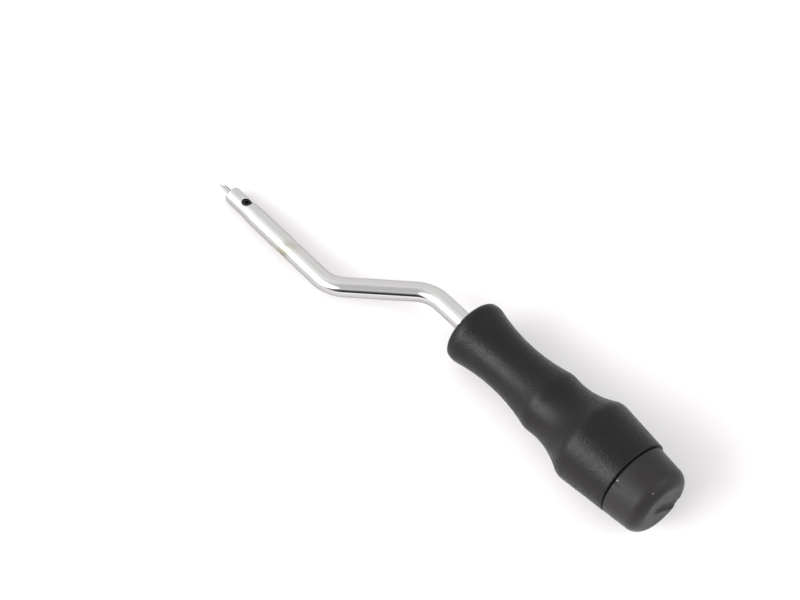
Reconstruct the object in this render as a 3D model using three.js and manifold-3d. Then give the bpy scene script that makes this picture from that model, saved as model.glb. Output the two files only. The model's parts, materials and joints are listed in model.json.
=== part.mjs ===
// Cranked spoke nipple driver: a chrome rod with two bends carries a forked bit in its nose,
// and a rubber-covered handle spins freely on the rod's other end.
// Sizes are in millimetres. The tool lies as it does on a bench: z = 0 is the bench top,
// +X runs from the end cap to the bit, and the crank reaches towards +Y.

import * as THREE from 'three';
import { mergeVertices } from 'three/addons/utils/BufferGeometryUtils.js';
import Module from 'manifold-3d';

const wasm = await Module();
wasm.setup();

// Clearances
const seatGap = 0.3; // between pieces that seat on, or are held in, each other
const runningGap = 0.3; // between the turning handle's bearings and the rod
const lipGap = 0.5; // between the rod and the rubber lip at the handle's mouth
const seamGap = 0.6; // the open seam between grip and cap

// Grip: stations are measured back from its front face
const gripLength = 89.7;
const frontCorner = 3.6;
const flareRadius = 13.9;
const longHollowDepth = 2.75;
const swellStation = 45;
const swellRadius = 13.95;
const shortHollowDepth = 2.15;
const shoulderStation = 67.2;
const shoulderRadius = 18.45;
const gripRearRadius = 16.35;
const crestRun = 2.2; // how far the rounding of a crest reaches to each side
const gripWall = 3;
const lipThickness = 3;

// Core under the grip, keyed to it by ribs
const ribCount = 4;
const ribHeight = 1;
const ribWidth = 2.4;
const ribStart = 14;
const ribLength = 46;
const coreRearWall = 2.7;
const coreReliefGap = 1.2; // the core's bore stands off the rod between the bushes

// End cap
const capLength = 15.8;
const capFrontRadius = 15.85;
const capRearRadius = 14.35;
const capCorner = 5.5;
const capWall = 2.6;
const notchWidth = 4.5; // a notch in the end face, from past the middle out through the rim
const notchDepth = 1.2;
const notchPastMiddle = 3.6;
const notchTurnDegrees = 222;
const spigotLength = 8;
const spigotWall = 1.8;
const snapBead = 0.6;
const snapBeadLength = 1.6;
const snapBeadSetback = 1;
const snapSlotCount = 4;
const snapSlotWidth = 2;
const snapSlotRoot = 1.2; // what is left uncut of a snap finger at the cap's face

// Bearings on the rod's journal
const journalDiameter = 6;
const bearingSpan = 71; // between the two bushes' outer faces
const bushLength = 11.5;
const bushWall = 1.8;
const flangeThickness = 1.5;
const flangeWidth = 1.5;
const washerThickness = 1;
const washerWidth = 2.4;
const clipThickness = 1;
const clipWidth = 2.6;
const clipLugHeight = 0.9;
const clipMouthDegrees = 80;
const clipLugDegrees = 44;
const grooveDepth = 0.8;
const journalEndRun = 3; // rod left behind the clip
const edgeChamfer = 0.5;

// Crank
const rodDiameter = 8;
const rodEntry = 5; // how far the full rod reaches into the handle
const neckLength = 22; // front face of the handle to the first bend's corner
const crankOffset = 26.7;
const crankAngleDegrees = 41;
const bendRadius = 16;
const tipLength = 60; // second bend's corner to the end of the nose
const noseDiameter = 7;
const noseLength = 11;
const noseTaperLength = 3;
const noseCorner = 0.9;

// Forked bit and its screw
const bitDiameter = 3.8;
const bitSeatDepth = 16;
const bitProjection = 5.9;
const bitChamfer = 0.4;
const forkChamfer = 0.2;
const boreMouthChamfer = 0.3;
const forkThickness = 0.9;
const forkSlot = 2.5;
const forkSlotDepth = 5.2;
const forkShoulder = 0.4; // round bit left standing out of the nose behind the fork
const forkRollDegrees = 35;
const bitFlatDepth = 0.8;
const screwStation = 9; // back from the end of the nose
const screwRollDegrees = 19;
const screwDiameter = 3.5; // drawn at the thread's pitch diameter
const screwRecess = 0.4; // how far the screw sits below the nose's surface
const screwChamfer = 0.3;
const socketSides = 6;
const socketAcrossFlats = 2;
const socketDepth = 1.1;
const holeCountersink = 0.3;

// Facets
const gripSides = 36;
const rodSides = 24;
const smallSides = 24;
const outlineStep = 5; // spacing of the rings along the grip's outside
const innerOutlineStep = 12; // spacing of the rings along the core
const crestSteps = 3;
const bendSteps = 7;
const cornerSteps = 4;
const crestShare = 0.4; // the most of a short curve that the rounding of a crest takes
const weldTolerance = 1e-4;
const cutMargin = 2; // how far a cutting body reaches past what it cuts

const quarterTurn = Math.PI / 2;
const rodRadius = rodDiameter / 2;
const noseRadius = noseDiameter / 2;
const journalRadius = journalDiameter / 2;
const bitRadius = bitDiameter / 2;

// Solids and cuts

function toSolid(geometry) {
  const bare = new THREE.BufferGeometry();
  bare.setAttribute('position', geometry.getAttribute('position'));
  bare.setIndex(geometry.getIndex());
  const welded = mergeVertices(bare, weldTolerance);
  const index = welded.getIndex().array;
  const triangles = [];
  for (let corner = 0; corner < index.length; corner += 3) {
    const [a, b, c] = index.slice(corner, corner + 3);
    if (a !== b && b !== c && c !== a) triangles.push(a, b, c);
  }
  const vertProperties = new Float32Array(welded.getAttribute('position').array);
  const triVerts = new Uint32Array(triangles);
  return new wasm.Manifold(new wasm.Mesh({ numProp: 3, vertProperties, triVerts }));
}

function toGeometry(solid) {
  const mesh = solid.getMesh();
  const indexed = new THREE.BufferGeometry();
  indexed.setAttribute('position', new THREE.BufferAttribute(mesh.vertProperties, 3));
  indexed.setIndex(new THREE.BufferAttribute(mesh.triVerts, 1));
  const faceted = indexed.toNonIndexed();
  faceted.computeVertexNormals();
  return faceted;
}

// Turned shapes: a profile point is (radius, station), and its stations run along -X or +X.

const point = (radius, station) => new THREE.Vector2(radius, station);

function turnedBack(profile, sides) {
  return new THREE.LatheGeometry(profile, sides).rotateZ(quarterTurn);
}

function turnedForward(profile, sides) {
  return new THREE.LatheGeometry(profile, sides).rotateZ(-quarterTurn);
}

function closed(profile) {
  return [...profile, profile[0].clone()];
}

function ringProfile(innerRadius, outerRadius, start, end) {
  return closed([
    point(innerRadius, start),
    point(outerRadius, start),
    point(outerRadius, end),
    point(innerRadius, end),
  ]);
}

// A quarter round from the side of a profile, at its radius, to an end face at the given station.
function cornerCurve(radius, station, size, startAngle, endAngle) {
  return new THREE.EllipseCurve(radius, station, size, size, startAngle, endAngle, endAngle < startAngle);
}

// Flat bars through the axis, crossing at equal angles.
function crossedBars(count, start, end, reach, width) {
  const bars = [];
  for (let bar = 0; bar < count / 2; bar += 1) {
    const box = new THREE.BoxGeometry(end - start, 2 * reach, width);
    box.translate(-(start + end) / 2, 0, 0);
    box.rotateX((bar * 2 * Math.PI) / count);
    bars.push(toSolid(box));
  }
  return bars.reduce((joined, bar) => joined.add(bar));
}

// Grip outline: parabolic finger hollows between rounded crests

function hollow(from, to, depth) {
  const middle = from.clone().add(to).divideScalar(2);
  middle.x -= 2 * depth; // a parabola's control point lies twice as deep as its floor
  return new THREE.QuadraticBezierCurve(from, middle, to);
}

function gripOutline(step) {
  const rim = point(flareRadius, frontCorner);
  const swell = point(swellRadius, swellStation);
  const shoulder = point(shoulderRadius, shoulderStation);
  const rear = point(gripRearRadius, gripLength);
  const curves = [
    cornerCurve(flareRadius - frontCorner, frontCorner, frontCorner, -quarterTurn, 0),
    hollow(rim, swell, longHollowDepth),
    hollow(swell, shoulder, shortHollowDepth),
    new THREE.LineCurve(shoulder, rear),
  ];
  const outline = [];
  curves.forEach((curve, place) => {
    const trim = Math.min(crestRun / curve.getLength(), crestShare);
    const from = place === 0 ? 0 : trim;
    const to = place === curves.length - 1 ? 1 : 1 - trim;
    const parts = place === 0 ? cornerSteps - 1 : Math.ceil(curve.getLength() / step);
    const straight = curve instanceof THREE.LineCurve;
    const steps = straight ? 1 : parts;
    if (place > 0) {
      const crest = new THREE.QuadraticBezierCurve(outline.at(-1), curve.getPoint(0), curve.getPoint(from));
      outline.push(...crest.getPoints(crestSteps).slice(1, -1));
    }
    for (let i = 0; i <= steps; i += 1) outline.push(curve.getPoint(from + ((to - from) * i) / steps));
  });
  return outline;
}

function radiusAt(outline, station) {
  const after = outline.findIndex((p) => p.y >= station);
  if (after < 0) return outline.at(-1).x;
  if (after === 0) return outline[0].x;
  const [low, high] = [outline[after - 1], outline[after]];
  return low.x + ((high.x - low.x) * (station - low.y)) / (high.y - low.y);
}

// The stretch of an outline between two stations, moved in towards the axis.
function insetOutline(outline, inset, from, to) {
  const within = outline.filter((p) => p.y > from && p.y < to);
  const moved = within.map((p) => point(p.x - inset, p.y));
  const first = point(radiusAt(outline, from) - inset, from);
  const last = point(radiusAt(outline, to) - inset, to);
  return [first, ...moved, last];
}

const outerOutline = gripOutline(outlineStep);
const innerOutline = gripOutline(innerOutlineStep);

// Stations along the handle, measured back from its front face
const coreFront = lipThickness + seatGap;
const coreRear = gripLength + seamGap - seatGap;
const capFront = coreRear + seatGap;
const capEnd = capFront + capLength;
const frontWasherStart = rodEntry + runningGap;
const frontBushStart = frontWasherStart + washerThickness + runningGap;
const rearBushEnd = frontBushStart + bearingSpan;
const rearWasherStart = rearBushEnd + runningGap;
const clipStart = rearWasherStart + washerThickness + runningGap;
const clipEnd = clipStart + clipThickness;
const journalEnd = clipEnd + seatGap + journalEndRun;
const spigotFront = capFront - spigotLength;
const pocketFloor = spigotFront - seatGap;

// Radii that fit into each other
const bushBore = journalRadius + runningGap;
const bushRadius = bushBore + bushWall;
const flangeRadius = bushRadius + flangeWidth;
const washerRadius = bushBore + washerWidth;
const grooveRadius = journalRadius - grooveDepth;
const clipBore = grooveRadius + seatGap;
const coreInset = gripWall + seatGap;
const pocketRadius = radiusAt(innerOutline, gripLength) - coreInset - coreRearWall;
const spigotRadius = pocketRadius - seatGap;
const spigotBore = spigotRadius - spigotWall;
const beadStart = spigotFront + snapBeadSetback;
const beadEnd = beadStart + snapBeadLength;

// Handle pieces

function keyBars(extraInset, gap) {
  const start = ribStart - gap;
  const end = ribStart + ribLength + gap;
  const outside = insetOutline(innerOutline, extraInset - ribHeight, start, end);
  const inside = insetOutline(innerOutline, extraInset + ribHeight, start, end).reverse();
  const sleeve = toSolid(turnedBack(closed([...outside, ...inside]), gripSides));
  const bars = crossedBars(ribCount, start, end, shoulderRadius, ribWidth + 2 * gap);
  return sleeve.intersect(bars);
}

function rubberGrip() {
  const mouth = rodRadius + lipGap;
  const bore = insetOutline(innerOutline, gripWall, lipThickness, gripLength).reverse();
  const profile = closed([point(mouth, 0), ...outerOutline, ...bore, point(mouth, lipThickness)]);
  const shell = toSolid(turnedBack(profile, gripSides));
  return toGeometry(shell.subtract(keyBars(gripWall, seatGap)));
}

function handleCore() {
  const flangeBore = flangeRadius + seatGap;
  const bushSeat = bushRadius + seatGap;
  const relief = journalRadius + coreReliefGap;
  const frontFlangeSeat = frontBushStart + flangeThickness + seatGap;
  const frontBushSeat = frontBushStart + bushLength + seatGap;
  const rearFlangeSeat = rearBushEnd - flangeThickness - seatGap;
  const rearBushSeat = rearBushEnd - bushLength - seatGap;
  const profile = closed([
    point(flangeBore, coreFront),
    ...insetOutline(innerOutline, coreInset, coreFront, coreRear),
    point(pocketRadius, coreRear),
    point(pocketRadius, beadEnd + seatGap),
    point(pocketRadius + snapBead, beadEnd + seatGap),
    point(pocketRadius + snapBead, beadStart - seatGap),
    point(pocketRadius, beadStart - seatGap),
    point(pocketRadius, pocketFloor),
    point(flangeBore, pocketFloor),
    point(flangeBore, rearFlangeSeat),
    point(bushSeat, rearFlangeSeat),
    point(bushSeat, rearBushSeat),
    point(relief, rearBushSeat),
    point(relief, frontBushSeat),
    point(bushSeat, frontBushSeat),
    point(bushSeat, frontFlangeSeat),
    point(flangeBore, frontFlangeSeat),
  ]);
  const sleeve = toSolid(turnedBack(profile, gripSides));
  return toGeometry(sleeve.add(keyBars(coreInset, 0)));
}

// A flanged bush, with its flange at the start of its stations.
function flangedBushProfile() {
  return closed([
    point(bushBore, 0),
    point(flangeRadius, 0),
    point(flangeRadius, flangeThickness),
    point(bushRadius, flangeThickness),
    point(bushRadius, bushLength - edgeChamfer),
    point(bushRadius - edgeChamfer, bushLength),
    point(bushBore, bushLength),
  ]);
}

function frontBush() {
  return turnedBack(flangedBushProfile(), smallSides).translate(-frontBushStart, 0, 0);
}

function rearBush() {
  return turnedForward(flangedBushProfile(), smallSides).translate(-rearBushEnd, 0, 0);
}

function thrustWasher(start) {
  return turnedBack(ringProfile(bushBore, washerRadius, start, start + washerThickness), smallSides);
}

function endNotch() {
  const depth = notchDepth + cutMargin;
  const length = capFrontRadius + notchPastMiddle;
  const box = new THREE.BoxGeometry(depth, length, notchWidth);
  box.translate((notchDepth - cutMargin) / 2 - capEnd, length / 2 - notchPastMiddle, 0);
  box.rotateX(THREE.MathUtils.degToRad(notchTurnDegrees));
  return toSolid(box);
}

function endCap() {
  const innerFloor = capEnd - notchDepth - capWall;
  const cornerStart = capEnd - capCorner;
  const side = new THREE.LineCurve(point(capFrontRadius, capFront), point(capRearRadius, capEnd));
  const cornerRadius = side.getPoint((cornerStart - capFront) / capLength).x - capCorner;
  const corner = cornerCurve(cornerRadius, cornerStart, capCorner, 0, quarterTurn);
  const profile = [
    point(0, innerFloor),
    point(spigotBore, innerFloor),
    point(spigotBore, spigotFront),
    point(spigotRadius - edgeChamfer, spigotFront),
    point(spigotRadius, beadStart),
    point(spigotRadius + snapBead, (beadStart + beadEnd) / 2),
    point(spigotRadius, beadEnd),
    point(spigotRadius, capFront),
    point(capFrontRadius - edgeChamfer, capFront),
    point(capFrontRadius, capFront + edgeChamfer),
    ...corner.getPoints(cornerSteps + 2),
    point(0, capEnd),
  ];
  const moulding = toSolid(turnedBack(profile, gripSides));
  const slotStart = spigotFront - cutMargin;
  const slots = crossedBars(snapSlotCount, slotStart, capFront - snapSlotRoot, capFrontRadius, snapSlotWidth);
  return toGeometry(moulding.subtract(slots).subtract(endNotch()));
}

// Rod, turned straight and then bent into its crank

const crankAngle = THREE.MathUtils.degToRad(crankAngleDegrees);
const bendTangent = bendRadius * Math.tan(crankAngle / 2);
const bendRun = bendRadius * crankAngle;
const legRun = crankOffset / Math.sin(crankAngle) - 2 * bendTangent;
const firstBend = neckLength - bendTangent;
const secondBend = firstBend + bendRun + legRun;
const noseEnd = secondBend + bendRun + tipLength - bendTangent;
const crankRuns = [
  { run: firstBend, turn: 0 },
  { run: bendRun, turn: crankAngle },
  { run: legRun, turn: 0 },
  { run: bendRun, turn: -crankAngle },
  { run: tipLength, turn: 0 },
];

// Where the rod's axis is, and which way it heads, at a distance along the rod from the handle's face.
function crankAt(distance) {
  const at = { x: Math.min(distance, 0), y: 0, heading: 0 };
  let left = Math.max(distance, 0);
  for (const { run, turn } of crankRuns) {
    const advance = Math.min(left, run);
    const turned = (turn * advance) / run;
    const chord = turn === 0 ? advance : (2 * run * Math.sin(turned / 2)) / turn;
    at.x += chord * Math.cos(at.heading + turned / 2);
    at.y += chord * Math.sin(at.heading + turned / 2);
    at.heading += turned;
    left -= advance;
  }
  return at;
}

function bend(geometry) {
  const position = geometry.getAttribute('position');
  const vertex = new THREE.Vector3();
  for (let i = 0; i < position.count; i += 1) {
    vertex.fromBufferAttribute(position, i);
    const { x, y, heading } = crankAt(vertex.x);
    position.setX(i, x - vertex.y * Math.sin(heading));
    position.setY(i, y + vertex.y * Math.cos(heading));
  }
  return geometry;
}

function bendRings(start) {
  const rings = [];
  for (let i = 0; i <= bendSteps; i += 1) rings.push(point(rodRadius, start + (bendRun * i) / bendSteps));
  return rings;
}

const noseAxis = crankAt(noseEnd);
const screwRoll = THREE.MathUtils.degToRad(screwRollDegrees);
const forkRoll = THREE.MathUtils.degToRad(forkRollDegrees);
const bitBore = bitRadius + seatGap;
const screwRadius = screwDiameter / 2;
const screwHole = screwRadius + seatGap;
const bitFlat = bitRadius - bitFlatDepth;

// A body turned about Z, stood at the screw's place on the tip and rolled to the screw's angle.
function atScrew(geometry, end) {
  return geometry.rotateX(screwRoll).translate(end.x - screwStation, end.y, 0);
}

function crankShank() {
  const bitFloor = noseEnd - bitSeatDepth;
  const corner = cornerCurve(noseRadius - noseCorner, noseEnd - noseCorner, noseCorner, 0, quarterTurn);
  const profile = [
    point(0, -journalEnd),
    point(journalRadius - edgeChamfer, -journalEnd),
    point(journalRadius, edgeChamfer - journalEnd),
    point(journalRadius, -clipEnd - seatGap),
    point(grooveRadius, -clipEnd - seatGap),
    point(grooveRadius, seatGap - clipStart),
    point(journalRadius, seatGap - clipStart),
    point(journalRadius, -rodEntry),
    point(rodRadius - edgeChamfer, -rodEntry),
    point(rodRadius, edgeChamfer - rodEntry),
    ...bendRings(firstBend),
    ...bendRings(secondBend),
    point(rodRadius, noseEnd - noseLength - noseTaperLength),
    point(noseRadius, noseEnd - noseLength),
    ...corner.getPoints(cornerSteps - 1),
    point(bitBore + boreMouthChamfer, noseEnd),
    point(bitBore, noseEnd - boreMouthChamfer),
    point(bitBore, bitFloor),
    point(0, bitFloor),
  ];
  const rod = toSolid(bend(turnedForward(profile, rodSides)));
  const depth = noseRadius + cutMargin;
  const hole = new THREE.CylinderGeometry(screwHole, screwHole, depth, smallSides);
  hole.rotateX(quarterTurn).translate(0, 0, depth / 2);
  const mouth = noseRadius - holeCountersink;
  const flare = cutMargin + holeCountersink;
  const sink = new THREE.CylinderGeometry(screwHole + flare, screwHole, flare, smallSides);
  sink.rotateX(quarterTurn).translate(0, 0, mouth + flare / 2);
  const drilled = rod.subtract(toSolid(atScrew(hole, noseAxis)));
  return toGeometry(drilled.subtract(toSolid(atScrew(sink, noseAxis))));
}

function retainingClip() {
  const halfMouth = THREE.MathUtils.degToRad(clipMouthDegrees / 2);
  const lugSpread = THREE.MathUtils.degToRad(clipLugDegrees / 2);
  const lugCentres = [2 * Math.PI - halfMouth - lugSpread, Math.PI, halfMouth + lugSpread];
  const relief = clipBore + clipLugHeight;
  const outer = relief + clipWidth - clipLugHeight;
  const shape = new THREE.Shape();
  shape.absarc(0, 0, outer, halfMouth, 2 * Math.PI - halfMouth, false);
  lugCentres.forEach((centre, place) => {
    shape.absarc(0, 0, clipBore, centre + lugSpread, centre - lugSpread, true);
    const next = lugCentres[place + 1];
    if (next !== undefined) shape.absarc(0, 0, relief, centre - lugSpread, next + lugSpread, true);
  });
  shape.closePath();
  const settings = { depth: clipThickness, bevelEnabled: false, curveSegments: cornerSteps };
  const clip = new THREE.ExtrudeGeometry(shape, settings);
  return clip.rotateY(-quarterTurn).translate(-clipStart, 0, 0);
}

// The bit lies along X with the nose's end at x = 0, its fork's width along Z.
function driverBit() {
  const bitRear = seatGap - bitSeatDepth;
  const profile = [
    point(0, bitRear),
    point(bitRadius - bitChamfer, bitRear),
    point(bitRadius, bitRear + bitChamfer),
    point(bitRadius, bitProjection - forkChamfer),
    point(bitRadius - forkChamfer, bitProjection),
    point(0, bitProjection),
  ];
  let bit = toSolid(turnedForward(profile, smallSides));
  const cheekLength = bitProjection - forkShoulder + cutMargin;
  const cheekMiddle = forkShoulder + cheekLength / 2;
  for (const side of [-1, 1]) {
    const cheek = new THREE.BoxGeometry(cheekLength, bitDiameter, bitDiameter + cutMargin);
    cheek.translate(cheekMiddle, (side * (bitDiameter + forkThickness)) / 2, 0);
    bit = bit.subtract(toSolid(cheek));
  }
  const slotLength = forkSlotDepth + cutMargin;
  const slot = new THREE.BoxGeometry(slotLength, bitDiameter + cutMargin, forkSlot);
  slot.translate(bitProjection - forkSlotDepth + slotLength / 2, 0, 0);
  const flatEnd = screwHole - screwStation;
  const flatLength = flatEnd - bitRear + cutMargin;
  const flat = new THREE.BoxGeometry(flatLength, bitDiameter + cutMargin, bitDiameter);
  flat.translate(flatEnd - flatLength / 2, 0, bitFlat + bitRadius).rotateX(screwRoll + forkRoll);
  return toGeometry(bit.subtract(toSolid(slot)).subtract(toSolid(flat)));
}

// The screw stands on Z, from just off the bit's flat to just below the nose's surface.
function grubScrew() {
  const foot = bitFlat + seatGap;
  const head = noseRadius - screwRecess;
  const profile = [
    point(0, foot),
    point(screwRadius - screwChamfer, foot),
    point(screwRadius, foot + screwChamfer),
    point(screwRadius, head - screwChamfer),
    point(screwRadius - screwChamfer, head),
    point(0, head),
  ];
  const body = new THREE.LatheGeometry(profile, smallSides).rotateX(quarterTurn);
  const socketRadius = socketAcrossFlats / 2 / Math.cos(Math.PI / socketSides);
  const socketLength = socketDepth + cutMargin;
  const socket = new THREE.CylinderGeometry(socketRadius, socketRadius, socketLength, socketSides);
  socket.rotateX(quarterTurn).translate(0, 0, head - socketDepth + socketLength / 2);
  return toGeometry(toSolid(body).subtract(toSolid(socket)));
}

// Assembly

const softRubber = { color: 0x2b2a2a, roughness: 0.75, metalness: 0 };
const satinPlastic = { color: 0x3a3939, roughness: 0.5, metalness: 0 };
const corePlastic = { color: 0x1d1d1f, roughness: 0.55, metalness: 0 };
const bearingBronze = { color: 0xb08d57, roughness: 0.4, metalness: 1 };
const chromePlate = { color: 0xd8d8d6, roughness: 0.12, metalness: 1 };
const bareSteel = { color: 0xa9abad, roughness: 0.35, metalness: 1 };
const springSteel = { color: 0x4a4a4c, roughness: 0.4, metalness: 1 };
const groundSteel = { color: 0xc4c4c2, roughness: 0.25, metalness: 1 };
const blackOxide = { color: 0x161616, roughness: 0.4, metalness: 1 };

function addPiece(group, name, geometry, finish) {
  const mesh = new THREE.Mesh(geometry, new THREE.MeshStandardMaterial(finish));
  mesh.name = name;
  group.add(mesh);
  return mesh;
}

const handle = new THREE.Group();
addPiece(handle, 'rubber_grip', rubberGrip(), softRubber);
addPiece(handle, 'handle_core', handleCore(), corePlastic);
addPiece(handle, 'front_bush', frontBush(), bearingBronze);
addPiece(handle, 'rear_bush', rearBush(), bearingBronze);
addPiece(handle, 'end_cap', endCap(), satinPlastic);

const shank = new THREE.Group();
addPiece(shank, 'crank_shank', crankShank(), chromePlate);
addPiece(shank, 'front_thrust_washer', thrustWasher(frontWasherStart), bareSteel);
addPiece(shank, 'rear_thrust_washer', thrustWasher(rearWasherStart), bareSteel);
addPiece(shank, 'rear_retaining_clip', retainingClip(), springSteel);

const tip = new THREE.Group();
tip.position.set(noseAxis.x, noseAxis.y, 0);
const bit = addPiece(tip, 'driver_bit', driverBit(), groundSteel);
bit.rotation.x = -forkRoll;
const screw = addPiece(tip, 'bit_grub_screw', grubScrew(), blackOxide);
screw.rotation.x = screwRoll;
screw.position.x = -screwStation;
shank.add(tip);

// The tool lies on the crests of its flare and shoulder, pitched nose down, and its crank
// is rolled over until the end of the nose touches the bench as well.
const crestOf = (outline, from, to) =>
  outline.filter((p) => p.y > from && p.y < to).reduce((high, p) => (p.x > high.x ? p : high));
const flareCrest = crestOf(outerOutline, 0, (frontCorner + swellStation) / 2);
const shoulderCrest = crestOf(outerOutline, swellStation, gripLength);
const benchSlope = (shoulderCrest.x - flareCrest.x) / (shoulderCrest.y - flareCrest.y);
const axisOverBench = flareCrest.x - (noseAxis.x + flareCrest.y) * benchSlope;

shank.rotation.x = -Math.asin((axisOverBench - noseRadius) / crankOffset);
const tool = new THREE.Group();
tool.rotation.y = Math.atan(benchSlope);
tool.add(handle, shank);

const driver = new THREE.Group();
driver.add(tool);
const extent = new THREE.Box3().setFromObject(driver, true);
const middle = extent.getCenter(new THREE.Vector3());
driver.position.set(-middle.x, -middle.y, -extent.min.z);
driver.updateMatrixWorld(true);

export default driver;
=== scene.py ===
# Looks of a cranked spoke nipple driver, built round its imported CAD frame.
# Sizes in the dictionaries are millimetres and degrees; every mesh is in metres.

import json
import math

import bmesh
import bpy
import numpy as np
from mathutils import Matrix, Vector


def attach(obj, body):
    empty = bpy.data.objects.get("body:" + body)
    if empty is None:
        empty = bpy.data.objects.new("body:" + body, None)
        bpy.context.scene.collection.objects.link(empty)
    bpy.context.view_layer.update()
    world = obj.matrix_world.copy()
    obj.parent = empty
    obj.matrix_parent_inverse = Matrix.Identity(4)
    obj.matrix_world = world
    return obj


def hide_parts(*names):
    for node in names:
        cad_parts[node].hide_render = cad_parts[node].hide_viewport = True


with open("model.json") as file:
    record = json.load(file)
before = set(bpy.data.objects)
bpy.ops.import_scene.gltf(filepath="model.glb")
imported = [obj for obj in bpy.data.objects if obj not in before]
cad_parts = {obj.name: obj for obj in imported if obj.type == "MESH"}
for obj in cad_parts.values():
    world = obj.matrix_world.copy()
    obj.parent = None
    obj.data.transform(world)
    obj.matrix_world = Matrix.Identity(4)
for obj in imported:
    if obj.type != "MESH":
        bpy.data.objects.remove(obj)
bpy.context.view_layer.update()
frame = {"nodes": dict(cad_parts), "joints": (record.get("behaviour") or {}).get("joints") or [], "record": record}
mm = 0.001


# Directions and points taken from the frame

def unit(vector):
    vector = np.asarray(vector, float)
    return vector / np.linalg.norm(vector)


def across(vector, axis):  # the part of a vector that is square to an axis
    return vector - axis * (vector @ axis)


def vertexArray(mesh):
    flat = np.empty(3 * len(mesh.vertices), np.float32)
    mesh.vertices.foreach_get("co", flat)
    return flat.reshape(-1, 3).astype(float)


def endCentre(node, axis, depth=0.02):  # middle of the flat end that a node turns towards an axis
    points = vertexArray(frame["nodes"][node].data)
    along = points @ axis
    rim = points[along > along.max() - depth * mm]
    side = unit(np.cross(axis, (0, 0, 1)))
    up = np.cross(side, axis)
    middle = [((rim @ d).min() + (rim @ d).max()) / 2 for d in (side, up)]
    return axis * along.max() + side * middle[0] + up * middle[1]


joint = {entry["name"]: entry for entry in frame["joints"]}
mount = {entry["name"]: entry for entry in frame["record"]["mounts"]}
forward = unit(joint["handle_spin"]["axis"])  # along the handle, and along the tip too
gripFace = np.array(joint["handle_spin"]["pos_m"])
screwUp = unit(joint["grub_screw_back_off"]["axis"])
noseFace = endCentre("crank_shank", forward)
crankSide = unit(across(noseFace - gripFace, forward))
crankUp = np.cross(forward, crankSide)
forkSide = unit(across(np.array(mount["fork_tip"]["pos_m"]) - noseFace, forward))
forkUp = np.cross(forward, forkSide)
handleSide = unit(np.cross((0, 0, 1), forward))
handleUp = np.cross(forward, handleSide)


# Curves, grids and welded pieces

def steps(start, end, size):  # evenly spaced values about size apart, both ends kept
    return np.linspace(start, end, max(2, int(round(abs(end - start) / size)) + 1))


def bezier(start, pull, end, count):  # quadratic curve from start to end, drawn towards pull
    t = np.linspace(0, 1, count)[:, None]
    return (1 - t) ** 2 * np.array(start) + 2 * t * (1 - t) * np.array(pull) + t ** 2 * np.array(end)


def fillet(radius, station, size, start, end, count):  # arc of (radius, station) points
    turn = np.radians(np.linspace(start, end, count))
    return np.stack([radius + size * np.cos(turn), station + size * np.sin(turn)], 1)


def fullTurn(count):
    return np.arange(count) * 2 * math.pi / count


def gridFaces(rows, cols, wrapRows=False):  # quads of a grid that always closes across its columns
    i, j = np.meshgrid(np.arange(rows - (not wrapRows)), np.arange(cols), indexing="ij")
    k, n = (i + 1) % rows, (j + 1) % cols
    return np.stack([i * cols + j, i * cols + n, k * cols + n, k * cols + j], -1)


def inFrame(local, origin, x, y, z):  # local millimetres to the part's frame
    return origin + (local[..., :1] * x + local[..., 1:2] * y + local[..., 2:] * z) * mm


def makePiece(name, grids, body, node, material, sharp=32, weld=0.0005):
    # grids are (points, quads); points closer than weld are joined, and only edges that turn by
    # more than sharp degrees stay hard
    points, faces, start = [], [], 0
    for grid, quads in grids:
        points.append(grid.reshape(-1, 3))
        faces.append(quads.reshape(-1, 4) + start)
        start += len(points[-1])
    mesh = bpy.data.meshes.new(name)
    mesh.from_pydata(np.concatenate(points).tolist(), [], np.concatenate(faces).tolist())
    welded = bmesh.new()
    welded.from_mesh(mesh)
    bmesh.ops.remove_doubles(welded, verts=welded.verts, dist=weld * mm)
    bmesh.ops.recalc_face_normals(welded, faces=welded.faces)
    welded.to_mesh(mesh)
    welded.free()
    mesh.polygons.foreach_set("use_smooth", np.ones(len(mesh.polygons), bool))
    mesh.set_sharp_from_angle(angle=math.radians(sharp))
    mesh.materials.append(material)
    piece = bpy.data.objects.new(name, mesh)
    bpy.context.scene.collection.objects.link(piece)
    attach(piece, body)
    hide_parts(node)
    print("piece:", name, len(mesh.polygons), "faces")
    return piece


def paint(piece, name, values):  # one number per vertex, which a material reads by its name
    layer = piece.data.attributes.new(name, "FLOAT", "POINT")
    layer.data.foreach_set("value", values.astype(np.float32))


# Materials

def linear(hexColour):  # sRGB hex to linear red, green, blue and alpha
    parts = np.array([int(hexColour[i:i + 2], 16) for i in (1, 3, 5)]) / 255
    return (*np.where(parts <= 0.04045, parts / 12.92, ((parts + 0.055) / 1.055) ** 2.4), 1.0)


def perMetre(size):  # texture scale for a feature of this many millimetres
    return 1 / (size * mm)


def addNode(tree, kind, inputs=None, **settings):
    node = tree.nodes.new("ShaderNode" + kind)
    for name, value in settings.items():
        setattr(node, name, value)
    for name, value in (inputs or {}).items():
        if isinstance(value, bpy.types.NodeSocket):
            tree.links.new(value, node.inputs[name])
        else:
            node.inputs[name].default_value = value
    return node


def newMaterial(name):
    material = bpy.data.materials.new(name)
    material.use_nodes = True
    material.node_tree.nodes.clear()
    return material, material.node_tree


chrome = {
    "bright": "#bdbcbb", "glancing": "#d0d0d0", "smudge": 9.0, "sharpest": 0.05, "dullest": 0.1,
    "heatTint": "#9a9376", "tintShare": 0.75, "stainDulling": 0.25, "peel": 2.2, "peelHeight": 0.0016,
}


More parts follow.
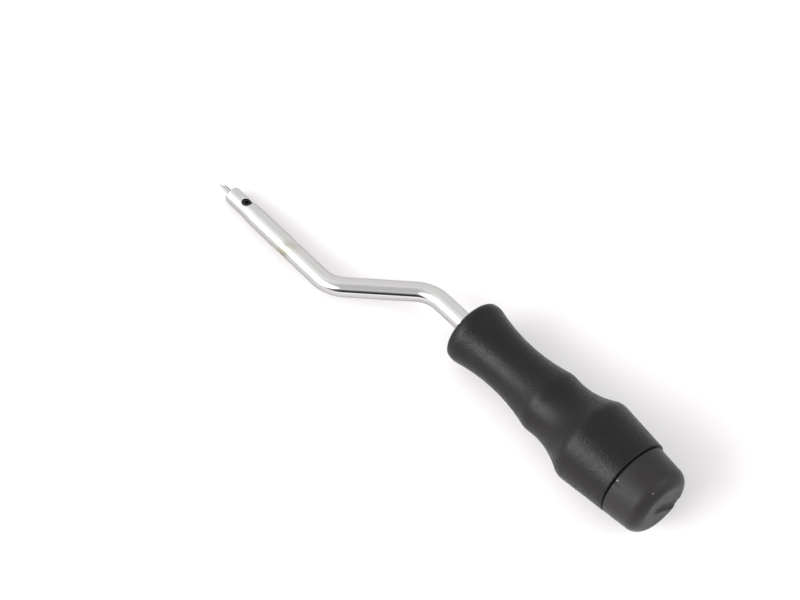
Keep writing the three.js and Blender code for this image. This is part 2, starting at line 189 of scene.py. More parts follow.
def brightChromePlate():
    # Chrome over polished steel: mirror-like, a little darker where it is seen at a glancing angle,
    # with faint smudges that blur the reflection in patches, a barely wavy plated skin, and a
    # brassy, duller heat stain where the tip was joined.
    material, tree = newMaterial("brightChromePlate")
    place = addNode(tree, "TexCoord").outputs["Object"]
    smudge = addNode(tree, "TexNoise", {
        "Vector": place, "Scale": perMetre(chrome["smudge"]), "Detail": 5.0})
    rough = addNode(tree, "MapRange", {
        "Value": smudge.outputs["Fac"], "From Min": 0.35, "From Max": 0.7,
        "To Min": chrome["sharpest"], "To Max": chrome["dullest"]})
    stain = addNode(tree, "Attribute", attribute_name="heatTint")
    share = addNode(tree, "Math", {
        0: stain.outputs["Fac"], 1: chrome["tintShare"]}, operation="MULTIPLY")
    dulled = addNode(tree, "Math", {
        0: stain.outputs["Fac"], 1: chrome["stainDulling"],
        2: rough.outputs["Result"]}, operation="MULTIPLY_ADD")
    colour = addNode(tree, "MixRGB", {
        "Fac": share.outputs[0], "Color1": linear(chrome["bright"]),
        "Color2": linear(chrome["heatTint"])})
    peel = addNode(tree, "TexNoise", {"Vector": place, "Scale": perMetre(chrome["peel"]), "Detail": 2.0})
    bump = addNode(tree, "Bump", {
        "Height": peel.outputs["Fac"], "Strength": 1.0, "Distance": chrome["peelHeight"] * mm})
    shader = addNode(tree, "BsdfPrincipled", {
        "Base Color": colour.outputs["Color"], "Metallic": 1.0, "Roughness": dulled.outputs[0],
        "Specular Tint": linear(chrome["glancing"]), "Normal": bump.outputs["Normal"]})
    addNode(tree, "OutputMaterial", {"Surface": shader.outputs["BSDF"]})
    return material


rubber = {
    "colour": "#0a0808", "worn": "#110e0f", "smoothest": 0.36, "roughest": 0.6, "specular": 0.105,
    "skin": 0.18, "skinRoughness": 0.19, "sheen": 0.075, "sheenSpread": 0.25,
    "grain": 0.75, "grainHeight": 0.14, "mottle": 1.5, "mottleHeight": 0.06,
}


def mouldedRubber():
    # Thermoplastic rubber from a spark-eroded mould: a dull near-black body under a thin glossier
    # skin, with a grain that glints where light grazes it, and a soft mottle a millimetre or two
    # across. The real grain is finer than a pixel, so it is drawn coarse enough to show.
    material, tree = newMaterial("mouldedRubber")
    place = addNode(tree, "TexCoord").outputs["Object"]
    grain = addNode(tree, "TexNoise", {
        "Vector": place, "Scale": perMetre(rubber["grain"]), "Detail": 2.5, "Roughness": 0.6})
    mottle = addNode(tree, "TexNoise", {
        "Vector": place, "Scale": perMetre(rubber["mottle"]), "Detail": 3.0})
    rough = addNode(tree, "MapRange", {
        "Value": mottle.outputs["Fac"], "From Min": 0.3, "From Max": 0.7,
        "To Min": rubber["smoothest"], "To Max": rubber["roughest"]})
    colour = addNode(tree, "MixRGB", {
        "Fac": mottle.outputs["Fac"], "Color1": linear(rubber["colour"]),
        "Color2": linear(rubber["worn"])})
    soft = addNode(tree, "Bump", {
        "Height": mottle.outputs["Fac"], "Strength": 1.0, "Distance": rubber["mottleHeight"] * mm})
    bump = addNode(tree, "Bump", {
        "Height": grain.outputs["Fac"], "Strength": 1.0, "Distance": rubber["grainHeight"] * mm,
        "Normal": soft.outputs["Normal"]})
    shader = addNode(tree, "BsdfPrincipled", {
        "Base Color": colour.outputs["Color"], "Roughness": rough.outputs["Result"],
        "Specular IOR Level": rubber["specular"], "Normal": bump.outputs["Normal"],
        "Coat Weight": rubber["skin"], "Coat Roughness": rubber["skinRoughness"],
        "Coat Normal": bump.outputs["Normal"],
        "Sheen Weight": rubber["sheen"], "Sheen Roughness": rubber["sheenSpread"]})
    addNode(tree, "OutputMaterial", {"Surface": shader.outputs["BSDF"]})
    return material


capSkin = {
    "colour": "#1c1a1b", "pale": "#222021", "smoothest": 0.42, "roughest": 0.52, "specular": 0.17,
    # the pale shade below is a painted highlight: glints painted into the cap's colour
    "glintPaint": "#8a8686", "sheen": 0.15, "sheenSpread": 0.3,
    "grain": 0.35, "grainHeight": 0.006, "flow": 6.0,
}


def satinPolypropylene():
    # Hard moulded plastic with a satin mould finish: smoother and a shade paler than the rubber,
    # with a little dust that lightens its edges, and two pale spots that are painted highlights, glints
    # painted into its colour. Its grain too is drawn coarser than the real one.
    material, tree = newMaterial("satinPolypropylene")
    place = addNode(tree, "TexCoord").outputs["Object"]
    flow = addNode(tree, "TexNoise", {
        "Vector": place, "Scale": perMetre(capSkin["flow"]), "Detail": 4.0})
    grain = addNode(tree, "TexNoise", {
        "Vector": place, "Scale": perMetre(capSkin["grain"]), "Detail": 1.0})
    rough = addNode(tree, "MapRange", {
        "Value": flow.outputs["Fac"], "From Min": 0.3, "From Max": 0.7,
        "To Min": capSkin["smoothest"], "To Max": capSkin["roughest"]})
    colour = addNode(tree, "MixRGB", {
        "Fac": flow.outputs["Fac"], "Color1": linear(capSkin["colour"]),
        "Color2": linear(capSkin["pale"])})
    # painted highlights: pale spots mixed into the base colour where the cap's glints fall
    paintedGlint = addNode(tree, "Attribute", attribute_name="paintedGlint")
    withGlints = addNode(tree, "MixRGB", {
        "Fac": paintedGlint.outputs["Fac"], "Color1": colour.outputs["Color"],
        "Color2": linear(capSkin["glintPaint"])})
    bump = addNode(tree, "Bump", {
        "Height": grain.outputs["Fac"], "Strength": 1.0, "Distance": capSkin["grainHeight"] * mm})
    shader = addNode(tree, "BsdfPrincipled", {
        "Base Color": withGlints.outputs["Color"], "Roughness": rough.outputs["Result"],
        "Specular IOR Level": capSkin["specular"], "Normal": bump.outputs["Normal"],
        "Sheen Weight": capSkin["sheen"], "Sheen Roughness": capSkin["sheenSpread"]})
    addNode(tree, "OutputMaterial", {"Surface": shader.outputs["BSDF"]})
    return material


def grainedFinish(name, dark, light, metallic, smoothest, roughest, grainSize, grainHeight):
    # Two close shades in a grain of one size, which also varies the gloss and the relief. The grain
    # is drawn coarse enough to show.
    material, tree = newMaterial(name)
    place = addNode(tree, "TexCoord").outputs["Object"]
    grain = addNode(tree, "TexNoise", {"Vector": place, "Scale": perMetre(grainSize), "Detail": 4.0})
    rough = addNode(tree, "MapRange", {
        "Value": grain.outputs["Fac"], "From Min": 0.3, "From Max": 0.7,
        "To Min": smoothest, "To Max": roughest})
    colour = addNode(tree, "MixRGB", {
        "Fac": grain.outputs["Fac"], "Color1": linear(dark), "Color2": linear(light)})
    bump = addNode(tree, "Bump", {
        "Height": grain.outputs["Fac"], "Strength": 1.0, "Distance": grainHeight * mm})
    shader = addNode(tree, "BsdfPrincipled", {
        "Base Color": colour.outputs["Color"], "Metallic": metallic,
        "Roughness": rough.outputs["Result"], "Normal": bump.outputs["Normal"]})
    addNode(tree, "OutputMaterial", {"Surface": shader.outputs["BSDF"]})
    return material


plainFinishes = {  # dark and light shade, metallic, smoothest and roughest, grain size and height
    "groundToolSteel": ("#5a5a59", "#6e6e6d", 1.0, 0.16, 0.28, 0.4, 0.002),  # fine grey lustre
    "blackOxide": ("#141415", "#252526", 0.6, 0.34, 0.46, 0.3, 0.004),  # oily dull black
    "mouldedNylon": ("#161617", "#202021", 0.0, 0.45, 0.6, 0.5, 0.006),  # plain black skin
    "sinteredBronze": ("#8f6d3c", "#b99660", 1.0, 0.34, 0.5, 0.25, 0.006),  # open brown grain
    "stampedSteel": ("#97999b", "#b3b5b7", 1.0, 0.28, 0.42, 0.6, 0.003),  # bare grey steel
    "bluedSpringSteel": ("#2a2b30", "#45464c", 1.0, 0.3, 0.45, 0.6, 0.003),  # blue-black and springy
}

shankFinish = brightChromePlate()
gripFinish = mouldedRubber()
capFinish = satinPolypropylene()
plain = {name: grainedFinish(name, *settings) for name, settings in plainFinishes.items()}
print("materials:", len(bpy.data.materials))


# Shank: a turned profile carried along the bent axis, with the screw's cross hole let into the nose

shank = {
    "rodDiameter": 8.0, "rodEntry": 5.0, "neckLength": 22.0, "crankOffset": 26.7, "crankAngle": 41.0,
    "bendRadius": 16.0, "tipLength": 60.0, "noseDiameter": 7.0, "noseLength": 11.0, "noseTaper": 3.0,
    "taperEase": 2.0, "noseCorner": 0.9, "journalDiameter": 6.0, "journalEnd": 83.5, "grooveStart": 78.9,
    "grooveEnd": 80.5, "grooveDepth": 0.8, "chamfer": 0.5, "boreDiameter": 4.4, "boreDepth": 16.0,
    "boreMouth": 0.3,
    "waistFromNose": 36.6, "waistDepth": 0.15, "waistReach": 1.6,
    "stainFromNose": 37.3, "stainSlant": 1.7, "stainReach": 2.6,
    "stainOnTop": 0.6, "stainLean": 0.6, "stainLeast": 0.15,  # shares of the full tint
    "sides": 120, "step": 0.6, "fineStep": 0.25,
}
crossHole = {
    "fromNose": 9.0, "diameter": 4.1, "edge": 0.2, "windowLength": 6.8, "windowAngle": 150.0,
    "rows": 40, "rings": 10, "edgeRings": 7,
}

bendAngle = math.radians(shank["crankAngle"])
bendTangent = shank["bendRadius"] * math.tan(bendAngle / 2)
bendRun = shank["bendRadius"] * bendAngle
legRun = shank["crankOffset"] / math.sin(bendAngle) - 2 * bendTangent
firstBend = shank["neckLength"] - bendTangent
secondBend = firstBend + bendRun + legRun
noseEnd = secondBend + bendRun + shank["tipLength"] - bendTangent
holeRun = noseEnd - crossHole["fromNose"]
screwTurn = math.atan2(screwUp @ crankSide, screwUp @ crankUp)


def crankPath(run):
    # straight neck, a bend by the crank angle, straight leg, the same bend back, straight tip
    size = shank["bendRadius"]
    bendOne = np.clip((run - firstBend) / size, 0, bendAngle)
    bendTwo = np.clip((run - secondBend) / size, 0, bendAngle)
    leg = np.clip(run - firstBend - bendRun, 0, legRun)
    tip = np.maximum(run - secondBend - bendRun, 0)
    x = np.minimum(run, firstBend) + size * np.sin(bendOne) + leg * math.cos(bendAngle)
    x = x + size * (math.sin(bendAngle) - np.sin(bendAngle - bendTwo)) + tip
    y = size * (1 - np.cos(bendOne)) + leg * math.sin(bendAngle)
    y = y + size * (np.cos(bendAngle - bendTwo) - math.cos(bendAngle))
    return x, y, bendOne - bendTwo


def onShank(run, radius, turn):
    # a distance along the bent axis, a radius out from it, turned round it from the screw's side
    run, radius, turn = np.broadcast_arrays(run, radius, turn + screwTurn)
    x, y, heading = crankPath(run)
    side = radius * np.sin(turn)
    local = np.stack([x - side * np.sin(heading), y + side * np.cos(heading), radius * np.cos(turn)], -1)
    return inFrame(local, gripFace, forward, crankSide, crankUp)


def rodSkin(run):
    # the rod's radius, then a short eased cone to the nose's, less a shallow bell-shaped waist
    back = noseEnd - run
    start, length = shank["noseLength"] - shank["taperEase"], shank["noseTaper"] + 2 * shank["taperEase"]
    share = np.clip((back - start) / length, 0, 1)
    share = share * share * (3 - 2 * share)
    waist = np.exp(-(((back - shank["waistFromNose"]) / shank["waistReach"]) ** 2))
    step = (shank["rodDiameter"] - shank["noseDiameter"]) / 2
    return shank["noseDiameter"] / 2 + step * share - shank["waistDepth"] * waist


def boreSkin(run):
    return np.full_like(run, shank["boreDiameter"] / 2)


def holeEdge(skin, size, angle):  # run and turn where a round cross hole comes through a skin
    run = holeRun + size * np.cos(angle)
    return run, np.arcsin(size * np.sin(angle) / skin(run))


def holePatch(skin, size, rows, columns):
    # rings between a window's border and the hole's edge, each a straight blend of the two
    alongSide, roundSide = np.ones(len(rows) - 1), np.ones(len(columns) - 1)
    run = np.concatenate([rows[0] * roundSide, rows[:-1], rows[-1] * roundSide, rows[:0:-1]])
    turn = np.concatenate([columns[:-1], columns[-1] * alongSide, columns[:0:-1], columns[0] * alongSide])
    angle = np.arctan2(turn * shank["noseDiameter"] / 2, run - holeRun)
    edgeRun, edgeTurn = holeEdge(skin, size, angle)
    share = np.linspace(0, 1, crossHole["rings"])[:, None]
    run = run + (edgeRun - run) * share
    grid = onShank(run, skin(run), turn + (edgeTurn - turn) * share)
    return (grid, gridFaces(*grid.shape[:2])), angle


def holeWall(angle):
    # over the rounded edge on a quarter circle, then straight down to the bore
    hole, edge = crossHole["diameter"] / 2, crossHole["edge"]
    tilt = np.radians(np.linspace(0, 90, crossHole["edgeRings"]))[:, None]
    wide = hole + edge * (1 - np.sin(tilt))
    run, turn = holeEdge(rodSkin, wide, angle)
    height = rodSkin(run) * np.cos(turn) - edge * (1 - np.cos(tilt))
    boreRun, boreTurn = holeEdge(boreSkin, hole, angle)
    run = np.vstack([run, boreRun])
    side = np.vstack([wide * np.sin(angle), hole * np.sin(angle)])
    height = np.vstack([height, boreSkin(boreRun) * np.cos(boreTurn)])
    grid = onShank(run, np.hypot(side, height), np.arctan2(side, height))
    return grid, gridFaces(*grid.shape[:2])


def buildShank():
    rod, nose = shank["rodDiameter"] / 2, shank["noseDiameter"] / 2
    journal, bore = shank["journalDiameter"] / 2, shank["boreDiameter"] / 2
    groove, cut, mouth = journal - shank["grooveDepth"], shank["chamfer"], shank["boreMouth"]
    rear = -shank["journalEnd"]
    inHandle = [  # (radius, run)
        (0, rear), (journal - cut, rear), (journal, rear + cut),
        (journal, -shank["grooveEnd"]), (groove, -shank["grooveEnd"]), (groove, -shank["grooveStart"]),
        (journal, -shank["grooveStart"]), (journal, -shank["rodEntry"]), (rod - cut, -shank["rodEntry"])]
    holeRows = np.linspace(-0.5, 0.5, crossHole["rows"] + 1) * crossHole["windowLength"] + holeRun
    tipStart = secondBend + bendRun
    cornerStart = noseEnd - shank["noseCorner"]
    rodRows = np.concatenate([
        steps(cut - shank["rodEntry"], tipStart, shank["step"]),
        steps(tipStart, holeRows[0], shank["fineStep"])[1:-1]])
    noseRows = steps(holeRows[-1], cornerStart, shank["fineStep"])[1:-1]
    before = np.concatenate([inHandle, np.stack([rodSkin(rodRows), rodRows], 1)])
    holeOut = np.stack([rodSkin(holeRows), holeRows], 1)
    after = np.concatenate([
        np.stack([rodSkin(noseRows), noseRows], 1),
        fillet(nose - shank["noseCorner"], cornerStart, shank["noseCorner"], 0, 90, 10),
        [(bore + mouth, noseEnd), (bore, noseEnd - mouth)]])
    holeIn = np.stack([boreSkin(holeRows), holeRows], 1)[::-1]
    floor = [(bore, noseEnd - shank["boreDepth"]), (0, noseEnd - shank["boreDepth"])]
    profile = np.concatenate([before, holeOut, after, holeIn, floor])

    turns = fullTurn(shank["sides"])
    grid = onShank(profile[:, 1:], profile[:, :1], turns)
    faces = gridFaces(*grid.shape[:2])
    reach = round(crossHole["windowAngle"] / 720 * shank["sides"])
    window = np.arange(-reach, reach) % shank["sides"]
    kept = np.ones(faces.shape[:2], bool)
    for row in (len(before), len(before) + len(holeOut) + len(after)):
        kept[row:row + crossHole["rows"], window] = False
    columns = np.arange(-reach, reach + 1) * turns[1]
    hole = crossHole["diameter"] / 2
    outside, angle = holePatch(rodSkin, hole + crossHole["edge"], holeRows, columns)
    inside, angle = holePatch(boreSkin, hole, holeRows, columns)
    grids = [(grid, faces[kept]), outside, inside, holeWall(angle)]

    piece = makePiece("crankShank", grids, "shank", "crank_shank", shankFinish)
    back = (noseFace - vertexArray(piece.data)) @ forward / mm
    outward = (vertexArray(piece.data) - noseFace) @ crankSide / mm / rod
    # the stain is a bell along the rod, slanted across it and strongest on the crank's side
    off = back - shank["stainFromNose"] + shank["stainSlant"] * outward
    strength = np.clip(shank["stainOnTop"] + shank["stainLean"] * outward, shank["stainLeast"], 1)
    paint(piece, "heatTint", np.exp(-((off / shank["stainReach"]) ** 2)) * strength)


# Bit: a round shank with a flat for the screw, and a two-pronged fork on its end

bit = {
    "diameter": 3.8, "rear": -15.7, "shoulder": 0.4, "chamfer": 0.4, "flatDepth": 0.8, "flatEnd": -6.95,
    "projection": 5.9, "thickness": 0.9, "slot": 2.5, "slotFloor": 0.7, "slotCorner": 0.3, "edge": 0.12,
    "root": -0.4, "sides": 96, "step": 0.15,
}


def bitBody():
    # a circle carried forward, with a chord across it where the screw's flat is
    turns, half = fullTurn(bit["sides"]), bit["diameter"] / 2
    towards = np.cos(turns - math.atan2(screwUp @ forkUp, screwUp @ forkSide))
    chord = np.where(towards > 0.1, (half - bit["flatDepth"]) / np.maximum(towards, 0.1), half)
    whole, cut, none = np.full_like(turns, half), np.minimum(half, chord), np.zeros_like(turns)
    rows = [
        (bit["rear"], none), (bit["rear"], np.minimum(cut, half - bit["chamfer"])),
        (bit["rear"] + bit["chamfer"], cut), (bit["flatEnd"], cut), (bit["flatEnd"], whole),
        (bit["shoulder"] - bit["edge"], whole), (bit["shoulder"], whole - bit["edge"]),
        (bit["shoulder"], none)]
    x = np.array([row[0] for row in rows])[:, None] + none
    radius = np.array([row[1] for row in rows])
    local = np.stack([x, radius * np.cos(turns), radius * np.sin(turns)], -1)
    return inFrame(local, noseFace, forward, forkSide, forkUp), gridFaces(*x.shape)


def bitFork():
    # a bar of rounded rectangular section carried round a U: down one prong, across, up the other;
    # each section lies between a point on the slot's edge and a point on the outer edge
    thick, edge, corner, inner = bit["thickness"] / 2, bit["edge"], bit["slotCorner"], bit["slot"] / 2
    outer = math.sqrt((bit["diameter"] / 2) ** 2 - thick ** 2)
    prong = steps(bit["projection"] - edge, bit["slotFloor"] + corner, bit["step"])
    bend = np.radians(np.linspace(0, 90, 8))[1:]
    inside = np.concatenate([
        np.stack([prong, np.full_like(prong, inner)], 1),
        np.stack([
            bit["slotFloor"] + corner * (1 - np.sin(bend)), inner - corner * (1 - np.cos(bend))], 1)])
    outside = np.concatenate([
        np.stack([prong, np.full_like(prong, outer)], 1),
        np.stack([np.linspace(prong[-1], bit["root"], len(bend)), np.full_like(bend, outer)], 1)])
    tilt = np.radians(np.linspace(90, 0, 6))[:-1]
    rise = np.concatenate([[edge], edge * np.sin(tilt), np.zeros(len(prong) + len(bend))])
    inset = np.concatenate([[outer], edge * (1 - np.cos(tilt)), np.zeros(len(prong) + len(bend))])
    ends = len(tilt) + 1
    inside = np.concatenate([np.repeat(inside[:1], ends, 0), inside])
    outside = np.concatenate([np.repeat(outside[:1], ends, 0), outside])
    inside[:, 0] += rise
    outside[:, 0] += rise
    mirror = np.array((1, -1))
    inside = np.concatenate([inside, inside[::-1] * mirror])[:, None]
    outside = np.concatenate([outside, outside[::-1] * mirror])[:, None]
    inset = np.append(inset, inset[::-1])[:, None]
    turns = np.radians(np.arange(7.5, 360, 15))
    span = np.linalg.norm(outside - inside, axis=-1)
    roundness = np.maximum(edge - inset, 0)
    wide = np.sign(np.cos(turns)) * np.maximum(span / 2 - inset - roundness, 0) + roundness * np.cos(turns)
    high = np.sign(np.sin(turns)) * np.maximum(thick - inset - roundness, 0) + roundness * np.sin(turns)
    flat = (inside + outside) / 2 + (outside - inside) / span[..., None] * wide[..., None]
    local = np.concatenate([flat, high[..., None]], -1)
    return inFrame(local, noseFace, forward, forkSide, forkUp), gridFaces(*local.shape[:2])


def buildBit():
    grids = [bitBody(), bitFork()]
    makePiece("forkBit", grids, "bit", "driver_bit", plain["groundToolSteel"])


# Grub screw: a short threaded stud with a hexagon socket

grubScrew = {
    "foot": 1.4, "head": 3.1, "majorDiameter": 3.86, "minorDiameter": 3.2, "pitch": 0.7, "chamfer": 0.4,
    "socket": 2.0, "socketDepth": 1.1, "socketCone": 0.25, "socketEdge": 0.08, "sides": 72, "rows": 48,
}


def buildGrubScrew():
    # the thread's radius is a zigzag of height less the share of a turn; cones limit it at both ends
    turns, foot, head = fullTurn(grubScrew["sides"]), grubScrew["foot"], grubScrew["head"]
    major, minor = grubScrew["majorDiameter"] / 2, grubScrew["minorDiameter"] / 2
    height = np.linspace(foot, head, grubScrew["rows"])[:, None]
    wave = (height / grubScrew["pitch"] - turns / (2 * math.pi)) % 1
    thread = minor + (major - minor) * (1 - np.abs(2 * wave - 1))
    cone = major - grubScrew["chamfer"] + np.minimum(height - foot, head - height)
    hexagon = grubScrew["socket"] / 2 / np.cos((turns + math.pi / 6) % (math.pi / 3) - math.pi / 6)
    none, floor = np.zeros_like(turns), head - grubScrew["socketDepth"]
    edge = grubScrew["socketEdge"]
    radius = np.vstack([none, np.minimum(thread, cone), hexagon + edge, hexagon, hexagon, none])
    heights = np.concatenate([
        [foot], height[:, 0], [head, head - edge, floor, floor - grubScrew["socketCone"]]])[:, None] + none
    local = np.stack([radius * np.cos(turns), radius * np.sin(turns), heights], -1)
    centre = noseFace - forward * crossHole["fromNose"] * mm
    grid = inFrame(local, centre, forward, np.cross(screwUp, forward), screwUp)
    grids = [(grid, gridFaces(*radius.shape))]
    finish = plain["blackOxide"]
    makePiece("bitGrubScrew", grids, "grub_screw", "bit_grub_screw", finish, sharp=25)


# Grip: one closed outline turned round the handle's axis; stations run back from its front face

grip = {
    "length": 89.7, "frontCorner": 3.6, "flareRadius": 13.9, "longHollowDepth": 2.75, "swellStation": 45.0,
    "swellRadius": 13.95, "shortHollowDepth": 2.15, "shoulderStation": 67.2, "shoulderRadius": 18.45,
    "rearRadius": 16.35, "crestRun": 2.2, "wall": 3.0, "thinWall": 1.9, "thinStart": 12.0, "thinEnd": 62.0,
    "lipThickness": 3.0, "mouthRadius": 4.5, "mouthEdge": 0.4, "rearEdge": 0.3, "sides": 168,
}


def onHandle(radius, station, turn):
    # a radius out from the handle's axis, a station back from its front face, turned round it
    radius, station, turn = np.broadcast_arrays(radius, station, turn)
    local = np.stack([-station, radius * np.cos(turn), radius * np.sin(turn)], -1)
    return inFrame(local, gripFace, forward, handleSide, handleUp)


def gripOutline():
    # quarter-round front, two parabolic hollows and a straight rear; a curve eases the crest between each
    corner, flare = grip["frontCorner"], grip["flareRadius"]
    rim, swell = np.array((flare, corner)), np.array((grip["swellRadius"], grip["swellStation"]))
    shoulder = np.array((grip["shoulderRadius"], grip["shoulderStation"]))
    rear = np.array((grip["rearRadius"], grip["length"]))
    curves = [fillet(flare - corner, corner, corner, -90, 0, 41)]
    for start, end, depth, count in (
            (rim, swell, grip["longHollowDepth"], 121), (swell, shoulder, grip["shortHollowDepth"], 81),
            (shoulder, rear, 0, 61)):
        pull = (start + end) / 2 - (2 * depth, 0)  # a parabola's pull lies twice as deep as its floor
        curves.append(bezier(start, pull, end, count))
    outline = np.empty((0, 2))
    for place, curve in enumerate(curves):
        length = np.linalg.norm(np.diff(curve, axis=0), axis=1).sum()
        trim = round(min(grip["crestRun"] / length, 0.4) * (len(curve) - 1))
        if place > 0:
            outline = np.concatenate([outline, bezier(outline[-1], curve[0], curve[trim], 13)[1:-1]])
        ends = (0 if place == 0 else trim, len(curve) - (0 if place == len(curves) - 1 else trim))
        outline = np.concatenate([outline, curve[ends[0]:ends[1]]])
    return outline


def buildGrip():
    outline = gripOutline()
    edge, mouth, mouthEdge = grip["rearEdge"], grip["mouthRadius"], grip["mouthEdge"]
    skin = outline[outline[:, 1] < grip["length"] - edge]
    rear = fillet(grip["rearRadius"] - edge, grip["length"] - edge, edge, 0, 90, 6)
    stations = steps(grip["length"], grip["lipThickness"], 1.5)
    thin = (stations > grip["thinStart"]) & (stations < grip["thinEnd"])  # room for the core's ribs
    wall = np.where(thin, grip["thinWall"], grip["wall"])
    inner = np.stack([np.interp(stations, outline[:, 1], outline[:, 0]) - wall, stations], 1)
    lip = [(mouth, grip["lipThickness"])]
    front = fillet(mouth + mouthEdge, mouthEdge, mouthEdge, 180, 270, 6)
    profile = np.concatenate([front, skin, rear, inner, lip])
    grid = onHandle(profile[:, :1], profile[:, 1:], fullTurn(grip["sides"]))
    grids = [(grid, gridFaces(*grid.shape[:2], wrapRows=True))]
    makePiece("rubberGrip", grids, "handle", "rubber_grip", gripFinish)


# End cap: a turned moulding whose outside sits a little off the handle's axis, with a notch cut in its
# end face from past the middle out through the rim, and a pry groove that runs back from its front edge

endCap = {
    "front": 90.3, "end": 106.1, "frontRadius": 15.85, "rearRadius": 14.35, "corner": 5.5, "frontEdge": 0.3,
    "wall": 2.6, "spigotFront": 82.3, "spigotRadius": 10.05, "spigotBore": 8.25, "chamfer": 0.5,
    "offset": 0.42, "offsetTurn": -20.0, "sides": 480, "step": 0.2, "faceStep": 0.16,
    "notchWidth": 4.5, "notchDepth": 1.2, "notchPastMiddle": 3.6, "notchTurn": 222.0, "notchEdge": 1.0,
    "grooveTurn": 51.0, "grooveDepth": 0.36, "grooveReach": 0.5, "grooveLength": 6.5,
    # places of the painted glints, pale spots of colour that stand in for highlights
    "paintedGlints": ((15.8, 91.0, 55.0, 0.27), (13.8, 103.9, 75.5, 0.2)),  # radius, station, turn, size
}


def notchCut(radius, turn):
    # 0 outside the notch and 1 inside, eased over its edge by the distance to the nearest wall
    lean = turn - math.radians(endCap["notchTurn"])
    fromEnd = radius * np.cos(lean) + endCap["notchPastMiddle"]
    fromSide = endCap["notchWidth"] / 2 - np.abs(radius * np.sin(lean))
    inside = np.minimum(fromEnd, fromSide)
    share = np.clip(inside / endCap["notchEdge"] + 0.5, 0, 1)
    return share * share * (3 - 2 * share)


def pryGroove(station, turn):
    # a bell-shaped groove that grows shallow along the cap; negative, since it lies below the skin
    off = (turn - math.radians(endCap["grooveTurn"])) * endCap["frontRadius"]
    fade = np.clip(1 - (station - endCap["front"]) / endCap["grooveLength"], 0, 1)
    return -endCap["grooveDepth"] * fade * np.exp(-((off / endCap["grooveReach"]) ** 2))


def buildEndCap():
    end, corner, edge = endCap["end"], endCap["corner"], endCap["frontEdge"]
    floor = end - endCap["notchDepth"] - endCap["wall"]
    slope = (endCap["rearRadius"] - endCap["frontRadius"]) / (end - endCap["front"])
    cornerAt = end - corner
    cornerRadius = endCap["frontRadius"] + slope * (cornerAt - endCap["front"]) - corner
    spigot = [  # (radius, station)
        (0, floor), (endCap["spigotBore"], floor), (endCap["spigotBore"], endCap["spigotFront"]),
        (endCap["spigotRadius"] - endCap["chamfer"], endCap["spigotFront"]),
        (endCap["spigotRadius"], endCap["spigotFront"] + endCap["chamfer"]),
        (endCap["spigotRadius"], endCap["front"])]
    side = steps(endCap["front"] + edge, cornerAt, endCap["step"])[1:-1]
    face = steps(cornerRadius, 0, endCap["faceStep"])[1:]
    shell = np.concatenate([
        fillet(endCap["frontRadius"] - edge, endCap["front"] + edge, edge, -90, 0, 7),
        np.stack([endCap["frontRadius"] + slope * (side - endCap["front"]), side], 1),
        fillet(cornerRadius, cornerAt, corner, 0, 90, 44), np.stack([face, np.full_like(face, end)], 1)])
    turns = fullTurn(endCap["sides"])
    radius = shell[:, :1] + pryGroove(shell[:, 1:], turns)
    station = np.minimum(shell[:, 1:], end - endCap["notchDepth"] * notchCut(radius, turns))
    spigot = np.array(spigot)
    inner = onHandle(spigot[:, :1], spigot[:, 1:], turns)
    outer = onHandle(radius, station, turns)
    lean = math.radians(endCap["offsetTurn"])
    shift = (handleSide * math.cos(lean) + handleUp * math.sin(lean)) * endCap["offset"] * mm
    grid = np.concatenate([inner, outer + shift])
    grids = [(grid, gridFaces(*grid.shape[:2]))]
    piece = makePiece("endCap", grids, "handle", "end_cap", capFinish, sharp=60)
    # painted highlights: pale spots on the rim and corner that stand in for glints
    paintedGlint = 0
    for glintRadius, glintStation, glintTurn, size in endCap["paintedGlints"]:
        middle = onHandle(glintRadius, glintStation, math.radians(glintTurn)) + shift
        off = np.linalg.norm(vertexArray(piece.data) - middle, axis=1) / (size * mm)
        paintedGlint = paintedGlint + np.exp(-(off ** 2))
    paint(piece, "paintedGlint", paintedGlint)


buildShank()
buildBit()
buildGrubScrew()
buildGrip()
buildEndCap()
for node, finishName in (
        ("handle_core", "mouldedNylon"), ("front_bush", "sinteredBronze"), ("rear_bush", "sinteredBronze"),
        ("front_thrust_washer", "stampedSteel"), ("rear_thrust_washer", "stampedSteel"),
        ("rear_retaining_clip", "bluedSpringSteel")):
    frame["nodes"][node].data.materials.clear()
    frame["nodes"][node].data.materials.append(plain[finishName])
print("CAD nodes kept: core, bushes, washers and clip")


# Camera, floor and a soft studio tent

view = {
    "azimuth": 227.99, "elevation": 62.36, "distance": 1030.2, "target": (26.43, 1.04, 0.0),
    "lens": 117.0, "sensor": 36.0,
}
floorSheet = {"radius": 2500.0, "drop": 0.1, "colour": "#cbc9ca", "roughness": 0.9}
tent = {
    "wall": 1.22, "shown": "#f4f4f5",
    # azimuth from the camera's right, elevation, full and fading half-angles, and added glow
    "lights": (
        (172.0, 32.0, 0.0, 25.0, 1.0), (190.0, 32.0, 0.0, 25.0, 4.4), (213.0, 32.0, 0.0, 25.0, 6.7),
        (160.0, 40.0, 5.0, 42.0, 0.5), (200.0, 5.0, 3.0, 32.0, 0.9), (355.0, 38.0, 8.0, 24.0, 4.8),
        (230.0, 70.0, 10.0, 40.0, -0.3)),
    # the unlit side of the room, and how much of the glow it takes away
    "shade": (256.0, 2.0, 11.0, 41.0, 0.96),
}
azimuth, elevation = math.radians(view["azimuth"]), math.radians(view["elevation"])
rightward = np.array((math.cos(azimuth), math.sin(azimuth), 0))
away = np.array((-math.sin(azimuth), math.cos(azimuth), 0))
backward = np.array((0, 0, math.sin(elevation))) - away * math.cos(elevation)


def buildCamera():
    camera = bpy.data.objects.new("camera", bpy.data.cameras.new("camera"))
    camera.data.sensor_width = view["sensor"]
    camera.data.lens = view["lens"]
    camera.data.clip_start = 0.01
    axes = Matrix(np.stack([rightward, np.cross(backward, rightward), backward], 1).tolist()).to_4x4()
    axes.translation = (np.array(view["target"]) + backward * view["distance"]) * mm
    camera.matrix_world = axes
    bpy.context.scene.collection.objects.link(camera)
    bpy.context.scene.camera = camera


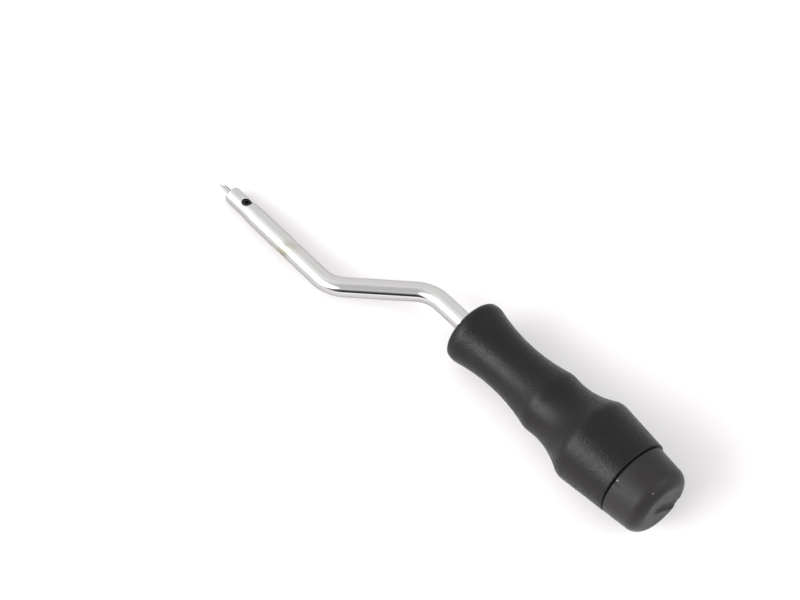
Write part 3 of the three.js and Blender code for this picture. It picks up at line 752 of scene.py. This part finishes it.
def buildFloor():
    turn = np.radians(np.arange(0, 360, 5))
    points = np.stack([np.cos(turn), np.sin(turn), np.zeros_like(turn)], 1) * floorSheet["radius"] * mm
    points[:, 2] = -floorSheet["drop"] * mm
    mesh = bpy.data.meshes.new("floorSheet")
    mesh.from_pydata(points.tolist(), [], [list(range(len(points)))])
    material, tree = newMaterial("mattPaper")  # a plain pale sweep
    shader = addNode(tree, "BsdfPrincipled", {
        "Base Color": linear(floorSheet["colour"]), "Roughness": floorSheet["roughness"],
        "Specular IOR Level": 0.0})
    addNode(tree, "OutputMaterial", {"Surface": shader.outputs["BSDF"]})
    mesh.materials.append(material)
    sheet = bpy.data.objects.new("floorSheet", mesh)
    bpy.context.scene.collection.objects.link(sheet)


def lobe(tree, direction, turn, rise, full, fading):
    # 1 inside the full half-angle, fading smoothly to 0 at the outer one
    turn, rise, full, fading = np.radians((turn, rise, full, fading)).tolist()
    centre = math.cos(rise) * (math.cos(turn) * rightward + math.sin(turn) * away)
    centre = centre + np.array((0, 0, math.sin(rise)))
    along = addNode(tree, "VectorMath", {0: direction, 1: centre.tolist()}, operation="DOT_PRODUCT")
    return addNode(tree, "MapRange", {
        "Value": along.outputs["Value"], "From Min": math.cos(fading), "From Max": math.cos(full)},
        interpolation_type="SMOOTHSTEP").outputs["Result"]


def buildTent():
    # the wall's even glow, plus each light, less the shaded side; the camera itself sees plain paper
    world = bpy.data.worlds.new("studioTent")
    world.use_nodes = True
    tree = world.node_tree
    tree.nodes.clear()
    direction = addNode(tree, "TexCoord").outputs["Generated"]
    glow = tent["wall"]
    for *place, added in tent["lights"]:
        share = lobe(tree, direction, *place)
        brighter = addNode(tree, "Math", {0: share, 1: added, 2: glow}, operation="MULTIPLY_ADD")
        glow = brighter.outputs[0]
    *place, taken = tent["shade"]
    shade = lobe(tree, direction, *place)
    left = addNode(tree, "Math", {0: shade, 1: -taken, 2: 1.0}, operation="MULTIPLY_ADD")
    total = addNode(tree, "Math", {0: glow, 1: left.outputs[0]}, operation="MULTIPLY")
    lit = addNode(tree, "Background", {"Color": (1, 1, 1, 1), "Strength": total.outputs[0]})
    paper = addNode(tree, "Background", {"Color": linear(tent["shown"]), "Strength": 1.0})
    seen = addNode(tree, "LightPath").outputs["Is Camera Ray"]
    both = addNode(tree, "MixShader", {0: seen, 1: lit.outputs[0], 2: paper.outputs[0]})
    addNode(tree, "OutputWorld", {"Surface": both.outputs[0]})
    bpy.context.scene.world = world


fill = {"place": (-55.0, 150.0, 70.0), "aim": (-55.0, 40.0, 0.0), "size": 100.0, "watts": 0.21}


def buildFill():
    # a small softbox that brightens the floor on the crank's side, which the rubber's flank then shows
    lamp = bpy.data.lights.new("fillLight", "AREA")
    lamp.size, lamp.energy = fill["size"] * mm, fill["watts"]
    softbox = bpy.data.objects.new("fillLight", lamp)
    softbox.location = np.array(fill["place"]) * mm
    aim = Vector(fill["aim"]) - Vector(fill["place"])
    softbox.rotation_euler = aim.to_track_quat("-Z", "Y").to_euler()
    softbox.visible_camera = softbox.visible_glossy = False
    bpy.context.scene.collection.objects.link(softbox)


buildCamera()
buildFloor()
buildTent()
buildFill()
bpy.context.scene.view_settings.view_transform = "Standard"
print("camera, floor and light set")
